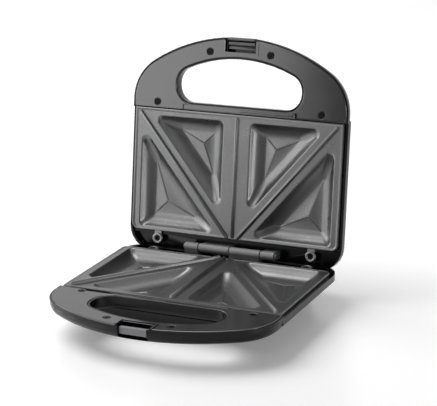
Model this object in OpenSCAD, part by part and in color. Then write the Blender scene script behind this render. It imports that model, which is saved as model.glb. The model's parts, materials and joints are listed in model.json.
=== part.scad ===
// Sandwich toaster with a hinged lid, stored open.
//
// Both halves have the same form: the lid is the base turned over, so the hinge
// knuckles of one fall between those of the other. Each half is drawn closed, in
// its own frame: X across, Y from the hinge axis toward the handle, Z up from the
// hinge axis, with the whole half below Z = 0.

/* [Body] */
// Width of the body across the side walls
body_w = 210; // [196:1:230]
// Reach from the hinge axis to the front of the handle
reach = 192.2; // [188:0.2:200]
// Reach of the body behind the hinge axis
rear_reach = 9; // [7:0.5:11]
// Radius of the long front curve
front_r = 156.4; // [148:0.2:166]
// Radius of the front corners
corner_r = 43.2; // [38:0.2:48]
// Radius of the rear corners
rear_corner_r = 22; // [16:1:28]
// Wall of the mouldings
shell_wall = 2.2; // [1.8:0.1:2.8]
// Floor of a half, below the hinge axis
body_drop = 31; // [29:0.5:36]
// Height of the feet
foot_h = 5; // [3:0.5:9]
// How far the lid stands open
open_angle = 99.5; // [92:0.5:104]

/* [Handle] */
// Top face of the handle, below the hinge axis
face_drop = 3.7; // [3:0.1:4]
// Underside of the handle, below the hinge axis
handle_drop = 16; // [15:0.5:18]
// Thickness of the handle cover
cover_t = 2.3; // [2:0.1:2.6]
// Bar between the plate and the grip opening
near_bar = 7.4; // [7.2:0.1:9]
// Bar between the grip opening and the front
far_bar = 19.5; // [19:0.1:24]
// Width of the grip opening
grip_w = 121; // [108:1:124]
// Radius of the far edge of the grip opening
grip_top_r = 125; // [110:1:140]
// Radius of the corners of the grip opening
grip_corner_r = 15; // [12:0.5:17]

/* [Plates] */
// Face of the cooking plate, below the hinge axis
land_drop = 3.4; // [3:0.1:4]
// Thickness of the plate
plate_t = 2.6; // [2:0.1:3]
// Depth of the bread pockets
pocket_depth = 9; // [7:0.5:10]
// Height of the low pyramid in each pocket
pyramid_h = 2; // [1:0.25:3]
// Height of the cutting ridges
ridge_h = 2.7; // [1.5:0.1:2.9]
// Radius of the pocket corners
pocket_corner_r = 5; // [4:0.5:6]

/* [Hinge and latch] */
// Outer radius of the hinge knuckles
knuckle_r = 4; // [3.6:0.1:4.5]
// Radius of the hinge and latch pins
pin_r = 1.5; // [1.2:0.1:1.8]
// Length of a long knuckle
knuckle_long = 29.5; // [24:0.5:32]
// Length of a short knuckle
knuckle_short = 13; // [10:0.5:16]
// Width of the latch
latch_w = 26; // [22:0.5:28]
// Distance of the latch pin behind the front of the handle
latch_in = 5.8; // [5.4:0.1:6.6]
// Height of the latch pin from the plane where the halves meet
latch_rise = 9; // [8.5:0.1:9.5]

/* [Hidden] */

$fn = 48;
arc_steps = 10;
turn_steps = 6;
over = 1;               // overrun of a cut
big = 3 * body_w;       // larger than anything in the part
fit_gap = 0.06;         // radial clearance of a pin in its bore
seat_gap = 0.3;         // clearance beside a seated piece
screw_r = 1.4;          // shank of every screw
black_plastic = [0.10, 0.10, 0.11];
cover_plastic = [0.16, 0.16, 0.17];
plate_coat = [0.28, 0.28, 0.29];
bright_steel = [0.72, 0.72, 0.74];
dark_steel = [0.22, 0.22, 0.23];
rubber_black = [0.07, 0.07, 0.07];

// Outline of the body, seen from above
half_w = body_w / 2;
front_y = reach - front_r;
corner_x = half_w - corner_r;
corner_y = front_y + sqrt(pow(front_r - corner_r, 2) - pow(corner_x, 2));
corner_turn = atan2(corner_y - front_y, corner_x);
rear_x = half_w - rear_corner_r;
rear_y = rear_corner_r - rear_reach;
shoulder_in = 7.3;              // straight side of the handle
shoulder_y = corner_y - shoulder_in;

// Levels of a half
rim_z = -(face_drop + cover_t);
side_drop = 12;                 // lower edge of the side walls
side_z = -side_drop;
handle_z = -handle_drop;
floor_z = -body_drop;
inner_floor_z = floor_z + shell_wall;
deck_drop = 12;                 // top of the rear deck that carries the hinge
deck_z = -deck_drop;
deck_front = 7;                 // front of the deck
bulkhead_y = deck_front + shell_wall;
bulkhead_drop = 8;              // top of the wall between deck and cavity
edge_round_shares = [[0, 0], [0.05, 0.312], [0.2, 0.6], [0.45, 0.835], [0.72, 0.96], [1, 1]];
edge_round_h = 9;               // height of the rounded lower edge of the handle
edge_round_in = 6;              // how far that edge is drawn in

// Domed underside of the body: share of the drop, share of the inset
dome_shares = [[0, 0], [0.07, 0.11], [0.5, 0.54], [0.87, 0.90], [0.96, 0.965], [1, 1]];
dome_side_in = 28;
dome_rear_in = 8;
dome_front_in = 12;

// Grip opening
grip_near = shoulder_y + near_bar;
grip_far = reach - far_bar;
grip_top_y = grip_far - grip_top_r;
grip_corner_x = grip_w / 2 - grip_corner_r;
grip_high_y = grip_top_y + sqrt(pow(grip_top_r - grip_corner_r, 2) - pow(grip_corner_x, 2));
grip_low_y = grip_near + grip_corner_r;
grip_turn = atan2(grip_high_y - grip_top_y, grip_corner_x);
cavity_front = grip_near - shell_wall;

// Handle cover
lip_drop = 0.5;                 // edge of the shell, below the face of the cover
lip_z = -(face_drop + lip_drop);
lip_t = 1.3;
cover_in = 1.6;                 // cover set in from the outside of the shell
cover_bevel = 0.6;
cover_gap = 0.4;                // between the cover and the plate
channel_half = 54.5;            // recessed strip between grip and plate
channel_near = 0.9;
channel_w = 3.8;
channel_depth = 1.1;
notch_half = 15.8;              // latch notch in the cover
notch_depth = 8.1;              // from the latch pin to the back of the notch
latch_y = reach - latch_in;
notch_back = latch_y - notch_depth;
notch_floor = 1.1;              // left under the notch of the base
notch_rim = 1.3;                // raised line round the notch
notch_rim_h = 0.5;
cheek_clear = 0.5;              // beside the latch, on each side
cheek_half = latch_w / 2 + cheek_clear;
cheek_t = 4.5;
far_screw_x = 29.5;
far_screw_in = 14.2;
near_screw_in = 24.7;
near_screw_y = 5.9;
cover_screws = [[far_screw_x, reach - far_screw_in], [half_w - near_screw_in, shoulder_y + near_screw_y]];
cover_head_r = 3.0;
cover_head_h = 1.2;
cover_pocket_r = 3.4;
cover_screw_len = 9;
boss_r = 4;
recess_r_share = 0.45;          // driver recess, as a share of the head radius
recess_h_share = 0.6;

// Cooking plate
plate_side_gap = 3.15;          // plate edge to the outside of the body
plate_half = half_w - plate_side_gap;
plate_rear_gap = 1.1;
plate_rear = bulkhead_y + plate_rear_gap;
plate_front_gap = 0.1;
plate_front = shoulder_y - plate_front_gap;
plate_corner_r = 6;
land_z = -land_drop;
plate_under_z = land_z - plate_t;
skirt_h = 3;
skirt_t = 2;
bead_w = 1.6;                   // raised bead round the plate
bead_h = 0.5;
tongue_in = 37;                 // from the side of the body to the front tongue
tongue_half = half_w - tongue_in;
tongue_t = 2;
tongue_len = 3.4;
ledge_t = 2.2;
ledge_w = 3.4;
ledge_z = rim_z - tongue_t - 2 * seat_gap - ledge_t;
ear_in = 29;                    // screw ear to the side of the body
ear_x = half_w - ear_in;
ear_y = 3;
ear_r = 5;
ear_drop = 4.4;
ear_t = 3;
ear_seat_z = -ear_drop - ear_t;
ear_hole_r = 2.6;
ear_neck_half = 3.5;
ear_neck_t = 1.6;
ear_floor = 1.2;                // web left under the screw head
ear_head_r = 2.3;
ear_screw_len = 5.5;
land_edge = 6.6;                // land outside the pockets
land_rear = 2.2;
land_front = 5.7;
land_mid = 12.5;                // half of the land along the middle
land_slant = 6.9;               // half of the land along each diagonal
slant_side_in = 5;              // ends of the diagonal ridges
slant_front_in = 3.3;
slant_mid = 4.3;
slant_rear_in = 0.4;
slant_out = [plate_half - slant_side_in, plate_front - slant_front_in];
slant_in = [slant_mid, plate_rear + slant_rear_in];
slant_len = norm(slant_out - slant_in);
slant_dir = (slant_out - slant_in) / slant_len;
slope_w = 12.5;                 // from the lip of a pocket to its deepest line
lip_shares = [[1, 1], [0.88, 0.98], [0.76, 0.921], [0.64, 0.824], [0.52, 0.69], [0.4, 0.516],
    [0.16, 0.129], [0.08, 0.032], [0, 0]];
skin_shares = [[0.75, 1], [0.42, 0.8], [-0.08, 0]];
tip_r_share = 0.25;             // corner radius at the foot, as a share of that at the lip
ridge_top_w = 1.6;
ridge_base_w = 3;

// Pockets of the right side: the corners of the triangle at its lip
outer_x = plate_half - land_edge;
outer_y = plate_rear + land_rear;
inner_y = plate_front - land_front;
function slant_y(x, side) = slant_in.y + side * land_slant / slant_dir.x
    + (x - slant_in.x) * slant_dir.y / slant_dir.x;
function slant_x(y, side) = slant_in.x + (y - slant_in.y - side * land_slant / slant_dir.x)
    * slant_dir.x / slant_dir.y;
outer_pocket = [[outer_x, outer_y], [outer_x, slant_y(outer_x, -1)], [slant_x(outer_y, -1), outer_y]];
inner_pocket = [[land_mid, inner_y], [land_mid, slant_y(land_mid, 1)], [slant_x(inner_y, 1), inner_y]];

// Heating element and what holds it
tube_r = 3.25;
tube_gap = 0.25;
skin_t = plate_t;
tube_z = land_z - pocket_depth - skin_t - tube_gap - tube_r;
tube_in = 35;
tube_x = half_w - tube_in;
tube_rear = 30;
tube_front_in = 28.5;           // behind the front wall of the cavity
tube_front = cavity_front - tube_front_in;
tube_turn_r = 10;
tube_end_x = 10;
tube_end_r = 10;
cold_pin_r = 1.5;
cold_pin_len = 5;
clip_t = 1;
clip_w = 9;
clip_boss_r = 3;
clip_reach = 8.5;               // from tube to boss
clip_boss_gap = 0.2;
clip_boss_z = land_z - pocket_depth - skin_t - clip_boss_gap;
clip_boss_h = plate_under_z - clip_boss_z + plate_t / 2;
clip_head_r = 2.4;
clip_head_h = 1.6;
clip_screw_len = 6;
clip_slant_x = tube_x - clip_reach;
clip_side_y = slant_y(clip_slant_x, 0);
clips = [[0, tube_front], [tube_x, clip_side_y], [-tube_x, clip_side_y]];
clip_angles = [90, 180, 0];

// Reflector under the element
reflector_in = 25;
reflector_behind = 7;
reflector_ahead = 4;
reflector_rise = 5.1;
reflector_half = half_w - reflector_in;
reflector_rear = tube_rear - reflector_behind;
reflector_front = tube_front + reflector_ahead;
reflector_t = 0.6;
reflector_z = inner_floor_z + reflector_rise;
reflector_rim_h = 1.2;
post_r = 4;
post_in = 55;
post_ahead = 10;
post_behind = 12;
posts = [[half_w - post_in, tube_rear + post_ahead], [half_w - post_in, tube_front - post_behind]];
post_head_r = 2.6;
post_head_h = 1.6;
post_screw_len = 4.5;

// Hinge
knuckle_gap = 1;
bore_r = pin_r + fit_gap;
arm_half = 0.9 * knuckle_r;
leaf_t = 2;
leaf_z = deck_z - shell_wall - leaf_t;
leaf_left = -(1.5 * knuckle_gap + knuckle_long + knuckle_short);
leaf_right = knuckle_gap / 2 + knuckle_long;
knuckles = [[knuckle_gap / 2, knuckle_long], [leaf_left, knuckle_short]];   // start and length
leaf_tab = 8;                   // screw tab past each end of the knuckles
leaf_screws = [leaf_left - leaf_tab / 2, leaf_right + leaf_tab / 2];
leaf_head_r = 1.9;
leaf_head_h = 1.2;
leaf_screw_skin = 0.6;          // deck left over the end of a screw
leaf_screw_len = leaf_t + shell_wall - leaf_screw_skin - seat_gap;
pin_head_r = 2.6;
pin_head_h = 1.2;
stop_gap = 0.2;                 // left between the halves at the open stop
split_angle = open_angle / 2;

// Latch: a flap on the lid that hooks under a bar in the base, with a thumb tab
latch_z = -latch_rise;
bar_w = 3.7;
bar_h = 5.7;
barrel_r = bar_h / 2;
flap_in = 3.1;                  // inner face of the flap, from the pin axis
flap_t = 2.2;
flap_out = flap_in + flap_t;
hook_gap = 0.3;
hook_t = 2.4;
hook_in = 0.9;
flap_len = 2 * latch_rise + bar_h / 2 + hook_gap + hook_t;
tab_len = latch_rise + lip_z;   // thumb tab, level with the edge of the shell
latch_rest = 180;               // turned back behind the handle

// Feet, lamps and wiring
foot_r = 8;
foot_top_r = 7;
foot_stud_r = 2.6;
foot_in = 45;
foot_x = half_w - foot_in;
foot_rear = 9;
foot_front_in = 24.5;
foot_front = cavity_front - foot_front_in;
lamp_x = 14;
lamp_in = 18.5;
lamp_y = cavity_front - lamp_in;
lens_r = 4.2;
lens_h = 1.4;
lens_stem_r = 3;
lens_stem = 1;
lamp_r = 2.2;
lamp_len = 6.5;
holder_w = 44;
holder_d = 8;
holder_t = 2;
holder_rise = 5;
holder_z = inner_floor_z + holder_rise;
outlet_in = 35;
outlet_x = half_w - outlet_in;
outlet_r = 4.5;
outlet_boss_r = 6.5;
outlet_z = -23.5;
outlet_inset = 1.5;
outlet_rear = outlet_inset - rear_reach;
outlet_len = 12;
block_side = 26;                // from the outlet to the far end of the block
block_x = outlet_x - block_side;
block_w = 22;
block_y = 9.5;
block_d = 12;
block_over = 2.4;
block_h = tube_z + block_over - inner_floor_z;
lead_r = 1.1;
lead_bend = 5;
thermostat_ahead = 32;          // of the rear run of the tube
thermostat_y = tube_rear + thermostat_ahead;
thermostat_r = 7;
thermostat_h = 5;
fuse_ahead = 6;
fuse_y = tube_rear + fuse_ahead;
fuse_r = 2.2;
fuse_len = 12;

// The feet stand on the floor, and the origin is under the middle of the part
hinge_z = body_drop + foot_h;
function opened_y(y, z) = y * -cos(open_angle) - z * sin(open_angle);
function latch_point(y, z) = [latch_y + y * cos(latch_rest) + z * sin(latch_rest),
    latch_z - y * sin(latch_rest) + z * cos(latch_rest)];
flap_corners = [latch_point(flap_out, flap_len), latch_point(-hook_in, flap_len),
    [reach, handle_z]];   // farthest back when the lid is open
back_reach = max([for (p = flap_corners) opened_y(p.x, p.y)]);
front_tip = front_y + sqrt(front_r * front_r - cheek_half * cheek_half);
hinge_y = (front_tip - back_reach) / 2;

// Outlines

function arc(x, y, r, from, to, n) =
    [for (i = [0:n]) let (a = from + (to - from) * i / n) [x + r * cos(a), y + r * sin(a)]];
function inner_part(list) = [for (i = [1:len(list) - 2]) list[i]];
function raised(list, z) = [for (p = list) [p.x, p.y, z]];

// Front of the body, from the shoulders forward, drawn in by an inset
function front_outline(inset) = concat([[half_w - inset, shoulder_y]],
    arc(corner_x, corner_y, corner_r - inset, 0, corner_turn, arc_steps),
    inner_part(arc(0, front_y, front_r - inset, corner_turn, 180 - corner_turn, 2 * arc_steps)),
    arc(-corner_x, corner_y, corner_r - inset, 180 - corner_turn, 180, arc_steps),
    [[inset - half_w, shoulder_y]]);

// Rear of the body, from the left shoulder round to the right one
function rear_outline(inset) = concat(
    arc(-rear_x, rear_y, rear_corner_r - inset, 180, 270, turn_steps),
    arc(rear_x, rear_y, rear_corner_r - inset, 270, 360, turn_steps));

// Body behind the handle, drawn in by an inset
function body_outline(inset, front) = concat(rear_outline(inset),
    [[half_w - inset, front], [inset - half_w, front]]);

function grip_outline(grow) = concat(
    arc(grip_corner_x, grip_low_y, grip_corner_r + grow, -90, 0, turn_steps),
    arc(grip_corner_x, grip_high_y, grip_corner_r + grow, 0, grip_turn, turn_steps),
    inner_part(arc(0, grip_top_y, grip_top_r + grow, grip_turn, 180 - grip_turn, arc_steps)),
    arc(-grip_corner_x, grip_high_y, grip_corner_r + grow, 180 - grip_turn, 180, turn_steps),
    arc(-grip_corner_x, grip_low_y, grip_corner_r + grow, 180, 270, turn_steps));

function round_box(x, near, far, r) = concat(
    arc(x - r, near + r, r, -90, 0, turn_steps),
    arc(x - r, far - r, r, 0, 90, turn_steps),
    arc(r - x, far - r, r, 90, 180, turn_steps),
    arc(r - x, near + r, r, 180, 270, turn_steps));

// Incentre and inradius of a triangle
function side_len(t, i) = norm(t[(i + 1) % 3] - t[(i + 2) % 3]);
function girth(t) = side_len(t, 0) + side_len(t, 1) + side_len(t, 2);
function incentre(t) =
    (side_len(t, 0) * t[0] + side_len(t, 1) * t[1] + side_len(t, 2) * t[2]) / girth(t);
function inradius(t) = abs(cross(t[1] - t[0], t[2] - t[0])) / girth(t);

// Triangle drawn in by an inset, its corners rounded; t runs anticlockwise
function away(t, i) = let (d = t[(i + 1) % 3] - t[i]) atan2(-d.x, d.y);
function corner_ring(t, i, inset, r) =
    let (mid = incentre(t), keep = (inradius(t) - inset - r) / inradius(t),
        c = mid + keep * (t[i] - mid), a = away(t, (i + 2) % 3), b = away(t, i))
    arc(c.x, c.y, r, a, b < a ? b + 360 : b, 4);
function triangle_ring(t, inset, r) = concat(corner_ring(t, 0, inset, r),
    corner_ring(t, 1, inset, r), corner_ring(t, 2, inset, r));
function anticlockwise(t) = cross(t[1] - t[0], t[2] - t[0]) > 0 ? t : [t[0], t[2], t[1]];

// Solid through rings of equal point counts, lowest ring first, flat or pointed below
module loft(rings, tip) {
    n = len(rings[0]);
    last = len(rings) - 1;
    sides = [for (k = [0:last - 1], i = [0:n - 1]) let (j = (i + 1) % n)
        each [[k * n + i, (k + 1) * n + i, (k + 1) * n + j], [k * n + i, (k + 1) * n + j, k * n + j]]];
    top = [[for (i = [n - 1:-1:0]) last * n + i]];
    bottom = is_undef(tip) ? [[for (i = [0:n - 1]) i]]
        : [for (i = [0:n - 1]) [i, (i + 1) % n, len(rings) * n]];
    points = [for (ring = rings) each ring];
    polyhedron(is_undef(tip) ? points : concat(points, [tip]), concat(bottom, sides, top));
}

module pillar(x, y, z, r, h) {
    translate([x, y, z]) cylinder(r = r, h = h);
}

module both_sides() {
    children();
    mirror([1, 0, 0]) children();
}

// A pan-head screw with a driver recess, standing at its seat
module screw(head_r, head_h, len) {
    recess = recess_r_share * head_r;
    difference() {
        union() {
            translate([0, 0, -len]) cylinder(r = screw_r, h = len);
            cylinder(r = head_r, h = head_h);
        }
        for (turn = [0, 90])
            rotate([0, 0, turn])
                translate([-recess * 1.5, -recess / 3, head_h * (1 - recess_h_share)])
                    cube([recess * 3, recess / 1.5, head_h]);
    }
}

module in_base() {
    translate([0, hinge_y, hinge_z]) mirror([0, 1, 0]) children();
}

module in_lid() {
    translate([0, hinge_y, hinge_z]) rotate([-open_angle, 0, 0]) rotate([0, 180, 0])
        mirror([0, 1, 0]) children();
}

// The moulded shell

// One level of the dome; the hollow is the same form, drawn in and raised by the wall
function dome_ring(share, inset_share, wall) =
    raised(round_box(half_w - wall - inset_share * dome_side_in,
            -rear_reach + wall + inset_share * dome_rear_in,
            cavity_front + shell_wall - wall - inset_share * dome_front_in,
            rear_corner_r - wall),
        wall + side_z + share * (floor_z - side_z));

module dome(wall) {
    loft([for (i = [len(dome_shares) - 1:-1:0]) dome_ring(dome_shares[i].x, dome_shares[i].y, wall)]);
}

// Levels of the handle; its hollow is the same form, drawn in and raised by the wall
function handle_rings(wall, top) = concat(
    [for (s = edge_round_shares)
        raised(front_outline(wall + edge_round_in * (1 - s.y)), handle_z + wall + edge_round_h * s.x)],
    [raised(front_outline(wall), top)]);

module handle_block() {
    loft(handle_rings(0, rim_z));
}

module body_block() {
    translate([0, 0, side_z]) linear_extrude(rim_z - side_z)
        polygon(body_outline(0, shoulder_y + shell_wall));
}

module handle_hollow() {
    difference() {
        loft(handle_rings(shell_wall, over));
        translate([0, 0, handle_z]) linear_extrude(2 * handle_drop) {
            polygon(grip_outline(shell_wall));
            translate([-half_w, 0]) square([body_w, grip_near]);
            translate([-cheek_half - cheek_t, notch_back - shell_wall])
                square([2 * (cheek_half + cheek_t), front_r]);
        }
    }
}

// The edge that stands outside the cover, round the handle and round the grip
module cover_lip() {
    translate([0, 0, rim_z - lip_t]) linear_extrude(lip_z - rim_z + lip_t) {
        difference() {
            polygon(front_outline(0));
            polygon(front_outline(lip_t));
            translate([lip_t - half_w, 0]) square([body_w - 2 * lip_t, shoulder_y + over]);
        }
        difference() {
            polygon(grip_outline(lip_t));
            polygon(grip_outline(0));
        }
    }
}

module cavity() {
    translate([0, 0, side_z + shell_wall / 2]) linear_extrude(side_drop)
        polygon([[half_w - shell_wall, bulkhead_y], [half_w - shell_wall, cavity_front],
            [shell_wall - half_w, cavity_front], [shell_wall - half_w, bulkhead_y]]);
}

module rear_step(front, z) {
    translate([0, 0, z]) linear_extrude(-z) intersection() {
        polygon(body_outline(shell_wall, shoulder_y));
        translate([-half_w, -rear_reach]) square([body_w, rear_reach + front]);
    }
}

// The level deck behind the cavity, and the low wall between them
module deck() {
    intersection() {
        dome(shell_wall / 2);
        translate([-half_w, -rear_reach, deck_z - shell_wall])
            cube([body_w, rear_reach + bulkhead_y, shell_wall]);
    }
    translate([shell_wall / 2 - half_w, deck_front, deck_z - shell_wall / 8])
        cube([body_w - shell_wall, shell_wall, deck_drop + shell_wall / 8 - bulkhead_drop]);
}

// Everything past the plane where the two halves meet when open
module open_stop_cut() {
    rotate([90 + split_angle, 0, 0]) translate([-big / 2, -stop_gap, 0]) cube([big, big, big]);
}

module cover_bosses() {
    both_sides() for (p = cover_screws)
        pillar(p.x, p.y, handle_z + shell_wall / 2, boss_r, rim_z - handle_z - shell_wall / 2);
}

module half_shell() {
    difference() {
        union() {
            difference() {
                union() {
                    body_block();
                    handle_block();
                    dome(0);
                }
                cavity();
                handle_hollow();
                dome(shell_wall);
                rear_step(deck_front, deck_z);
                rear_step(bulkhead_y, -bulkhead_drop);
            }
            deck();
            cover_lip();
            cover_bosses();
            both_sides()
                pillar(ear_x, ear_y, deck_z - shell_wall / 2, boss_r, ear_seat_z - deck_z + shell_wall / 2);
            both_sides() for (p = posts)
                pillar(p.x, p.y, floor_z + shell_wall / 2, post_r, reflector_z - floor_z - shell_wall / 2);
            both_sides() translate([tongue_half / 3, cavity_front - ledge_w, ledge_z])
                cube([tongue_half / 3, ledge_w + over, ledge_t]);
        }
        open_stop_cut();
        translate([0, 0, handle_z - over]) linear_extrude(handle_drop) polygon(grip_outline(0));
        translate([-cheek_half, notch_back, handle_z + notch_floor])
            cube([2 * cheek_half, front_r, handle_drop]);
        translate([-cheek_half - cheek_t - over, latch_y, latch_z]) rotate([0, 90, 0])
            cylinder(r = bore_r, h = 2 * (cheek_half + cheek_t + over));
        both_sides() for (p = cover_screws)
            pillar(p.x, p.y, rim_z - cover_screw_len, screw_r + fit_gap, cover_screw_len + over);
        both_sides()
            pillar(ear_x, ear_y, ear_seat_z - ear_screw_len, screw_r + fit_gap, ear_screw_len + over);
        both_sides() for (p = posts)
            pillar(p.x, p.y, reflector_z - post_screw_len, screw_r + fit_gap, post_screw_len + over);
        for (x = leaf_screws)
            pillar(x, 0, leaf_z, screw_r + fit_gap, leaf_t + shell_wall - leaf_screw_skin);
        for (k = knuckles)
            translate([k.x - seat_gap, -arm_half - seat_gap, deck_z - shell_wall - over])
                cube([k.y + 2 * seat_gap, 2 * (arm_half + seat_gap), shell_wall + 2 * over]);
    }
}

module base_shell() {
    color(black_plastic) in_base() difference() {
        union() {
            half_shell();
            translate([outlet_x, outlet_rear, outlet_z]) rotate([-90, 0, 0])
                cylinder(r = outlet_boss_r, h = outlet_len);
        }
        translate([outlet_x, outlet_rear - over, outlet_z]) rotate([-90, 0, 0])
            cylinder(r = outlet_r, h = outlet_len + 2 * over);
        both_sides() for (y = [foot_rear, foot_front])
            pillar(foot_x, y, floor_z - over, foot_stud_r + fit_gap, shell_wall / 2 + over);
    }
}

module lid_shell() {
    color(black_plastic) in_lid() difference() {
        half_shell();
        translate([-cheek_half, latch_y - flap_out - seat_gap, handle_z - over])
            cube([2 * cheek_half, front_r, handle_drop]);
        both_sides() pillar(lamp_x, lamp_y, floor_z - over, lens_stem_r + fit_gap, shell_wall + 2 * over);
    }
}

// The handle cover

module half_cover() {
    near = shoulder_y + cover_gap;
    difference() {
        union() {
            translate([0, 0, rim_z]) linear_extrude(cover_t - cover_bevel) difference() {
                polygon(front_outline(cover_in));
                translate([-half_w, near - big]) square([body_w, big]);
            }
            translate([0, 0, -face_drop - cover_bevel]) linear_extrude(cover_bevel) difference() {
                polygon(front_outline(cover_in + cover_bevel));
                translate([-half_w, near - big]) square([body_w, big]);
            }
            translate([0, 0, -face_drop - cover_bevel])
                linear_extrude(cover_bevel + notch_rim_h) intersection() {
                polygon(front_outline(cover_in + cover_bevel));
                translate([-notch_half - notch_rim, notch_back - notch_rim])
                    square([2 * (notch_half + notch_rim), front_r]);
            }
        }
        translate([0, 0, rim_z - over]) linear_extrude(cover_t + 2 * over) {
            polygon(grip_outline(cover_in));
            translate([-notch_half, notch_back]) square([2 * notch_half, front_r]);
        }
        translate([-channel_half, near + channel_near, -face_drop - channel_depth])
            cube([2 * channel_half, channel_w, channel_depth + over]);
        both_sides() for (p = cover_screws) {
            pillar(p.x, p.y, rim_z - over, screw_r + seat_gap, cover_t + 2 * over);
            pillar(p.x, p.y, -face_drop - cover_head_h, cover_pocket_r, cover_head_h + over);
        }
    }
}

module half_cover_screws() {
    both_sides() for (p = cover_screws)
        translate([p.x, p.y, -face_drop - cover_head_h])
            screw(cover_head_r, cover_head_h - seat_gap / 2, cover_screw_len - over);
}

// The cooking plate

// The hollow of a pocket: a rounded lip, sloping sides and a low pyramid on its floor
module pocket_hollow(corners) {
    t = anticlockwise(corners);
    rings = [for (s = lip_shares)
        raised(triangle_ring(t, s.x * slope_w, pocket_corner_r * (1 - s.x * s.x * (1 - tip_r_share))),
            land_z - s.y * pocket_depth)];
    mid = incentre(t);
    loft(concat(rings, [raised(triangle_ring(t, 0, pocket_corner_r), land_z + over)]),
        [mid.x, mid.y, land_z - pocket_depth + pyramid_h]);
}

// The outside of a pocket, below the plate
module pocket_skin(corners) {
    t = anticlockwise(corners);
    mid_z = plate_under_z + plate_t / 2;
    drop = pocket_depth + plate_t / 2;
    loft([for (s = skin_shares)
        raised(triangle_ring(t, s.x * slope_w, pocket_corner_r), mid_z - s.y * drop)]);
}

module ridge(from, to) {
    d = to - from;
    translate([from.x, from.y, land_z - plate_t / 2]) rotate([0, 0, atan2(d.y, d.x)]) rotate([90, 0, 90])
        linear_extrude(norm(d)) polygon([[-ridge_base_w / 2, 0], [ridge_base_w / 2, 0],
            [ridge_base_w / 2, plate_t / 2], [ridge_top_w / 2, plate_t / 2 + ridge_h],
            [-ridge_top_w / 2, plate_t / 2 + ridge_h], [-ridge_base_w / 2, plate_t / 2]]);
}

function plate_outline(inset) =
    let (r = plate_corner_r - inset, x = plate_half - plate_corner_r, y = plate_rear + plate_corner_r)
    concat(arc(-x, y, r, 180, 270, turn_steps), arc(x, y, r, 270, 360, turn_steps),
        [[plate_half - inset, plate_front - inset], [inset - plate_half, plate_front - inset]]);

module plate_frame(z, h, inset, wall) {
    translate([0, 0, z]) linear_extrude(h) difference() {
        polygon(plate_outline(inset));
        polygon(plate_outline(inset + wall));
    }
}

module at_clips() {
    for (i = [0:len(clips) - 1])
        translate([clips[i].x, clips[i].y, 0]) rotate([0, 0, clip_angles[i]]) children();
}

module half_plate() {
    difference() {
        union() {
            translate([0, 0, plate_under_z]) linear_extrude(plate_t) polygon(plate_outline(0));
            plate_frame(plate_under_z - skirt_h, skirt_h + plate_t / 2, 0, skirt_t);
            plate_frame(land_z - plate_t / 2, plate_t / 2 + bead_h, 0, bead_w);
            translate([-tongue_half, plate_front - tongue_len, rim_z - seat_gap - tongue_t])
                cube([2 * tongue_half, 2 * tongue_len, tongue_t]);
            both_sides() {
                pocket_skin(outer_pocket);
                pocket_skin(inner_pocket);
                ridge(slant_in, slant_out);
                translate([ear_x - ear_neck_half, ear_y, -ear_drop - ear_t])
                    cube([2 * ear_neck_half, plate_rear + skirt_t - ear_y, ear_neck_t]);
                pillar(ear_x, ear_y, -ear_drop - ear_t, ear_r, ear_t);
            }
            ridge([0, plate_rear + land_rear / 2], [0, plate_front - land_front / 2]);
            at_clips() pillar(clip_reach, 0, clip_boss_z, clip_boss_r, clip_boss_h);
        }
        both_sides() {
            pocket_hollow(outer_pocket);
            pocket_hollow(inner_pocket);
            pillar(ear_x, ear_y, -ear_drop - ear_t - over, screw_r + seat_gap, ear_t + 2 * over);
            pillar(ear_x, ear_y, -ear_drop - ear_t + ear_floor, ear_hole_r, ear_t + over);
        }
        at_clips()
            pillar(clip_reach, 0, clip_boss_z - over, screw_r + fit_gap, clip_screw_len + over);
    }
}

module half_plate_screws() {
    both_sides() translate([ear_x, ear_y, -ear_drop - ear_t + ear_floor])
        screw(ear_head_r, ear_t - ear_floor - seat_gap, ear_screw_len);
}

// The heating element: a tube bent into a loop, open at the rear

module tube_run(from, to, r) {
    d = to - from;
    translate([from.x, from.y, tube_z]) rotate([0, 0, atan2(d.y, d.x)]) rotate([0, 90, 0])
        cylinder(r = r, h = norm(d));
}

module tube_bend(x, y, turn_r, from, sweep) {
    translate([x, y, tube_z]) rotate([0, 0, from]) rotate_extrude(angle = sweep)
        translate([turn_r, 0]) circle(r = tube_r);
}

module half_element() {
    side = tube_x - tube_turn_r;
    both_sides() {
        tube_run([0, tube_front], [side, tube_front], tube_r);
        tube_bend(side, tube_front - tube_turn_r, tube_turn_r, 0, 90);
        tube_run([tube_x, tube_rear + tube_turn_r], [tube_x, tube_front - tube_turn_r], tube_r);
        tube_bend(side, tube_rear + tube_turn_r, tube_turn_r, 270, 90);
        tube_run([tube_end_x + tube_end_r, tube_rear], [side, tube_rear], tube_r);
        tube_bend(tube_end_x + tube_end_r, tube_rear - tube_end_r, tube_end_r, 90, 90);
        tube_run([tube_end_x, tube_rear - tube_end_r - cold_pin_len],
            [tube_end_x, tube_rear - tube_end_r + over], cold_pin_r);
    }
}

// A sheet strap that hugs the tube from below and is screwed to a boss of the plate
module clip() {
    hug = tube_r + seat_gap / 3;
    far = clip_reach + clip_boss_r;
    difference() {
        translate([0, clip_w / 2, 0]) rotate([90, 0, 0]) linear_extrude(clip_w) {
            difference() {
                translate([0, tube_z]) circle(r = hug + clip_t);
                translate([0, tube_z]) circle(r = hug);
                translate([-big / 2, tube_z]) square([big, big]);
            }
            translate([hug, tube_z]) square([clip_t, clip_boss_z - tube_z]);
            translate([hug, clip_boss_z - clip_t]) square([far - hug, clip_t]);
        }
        pillar(clip_reach, 0, clip_boss_z - clip_t - over, screw_r + seat_gap, clip_t + 2 * over);
    }
}

module half_clips() { at_clips() clip(); }

module half_clip_screws() {
    at_clips() translate([clip_reach, 0, clip_boss_z - clip_t]) rotate([180, 0, 0])
        screw(clip_head_r, clip_head_h, clip_screw_len - over);
}

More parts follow.
